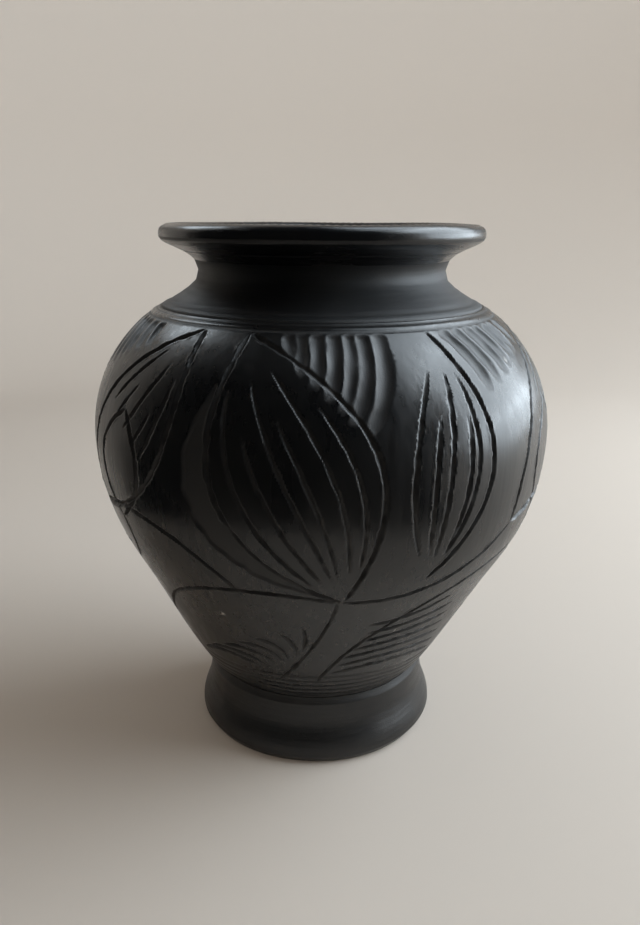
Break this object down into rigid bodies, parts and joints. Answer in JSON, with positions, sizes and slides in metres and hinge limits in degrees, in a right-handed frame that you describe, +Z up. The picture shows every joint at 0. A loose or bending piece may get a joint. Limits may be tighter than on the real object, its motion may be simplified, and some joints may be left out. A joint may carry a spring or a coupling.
{
  "type": "clay vase",
  "caption": "Black clay vase with a rolled lip, narrow neck, wide carved belly and flared hollow foot, luted from turned members.",
  "frame": {"origin": "centre of the foot's standing face, at the bottom of the vase", "axes": "+Z up along the turning axis; the carved leaf that the picture shows in the middle faces -Y"},
  "size_m": [0.156, 0.156, 0.18],
  "materials": {
    "foot_clay": "satin turned black clay, smoke fired, unglazed",
    "inner_clay": "matte black clay, unglazed and unpolished",
    "burnished_clay": "black clay burnished to a graphite gloss, with matte carved lines and gouged grounds, unglazed",
    "neck_clay": "satin turned black clay with fine turning marks, unglazed",
    "lip_clay": "burnished black clay, unglazed"
  },
  "bodies": {
    "root": {"foot_ring": "foot_clay", "floor_disc": "inner_clay", "lower_wall": "burnished_clay", "shoulder_wall": "burnished_clay", "neck_collar": "neck_clay", "lip_coil": "lip_clay"}
  },
  "joints": []
}
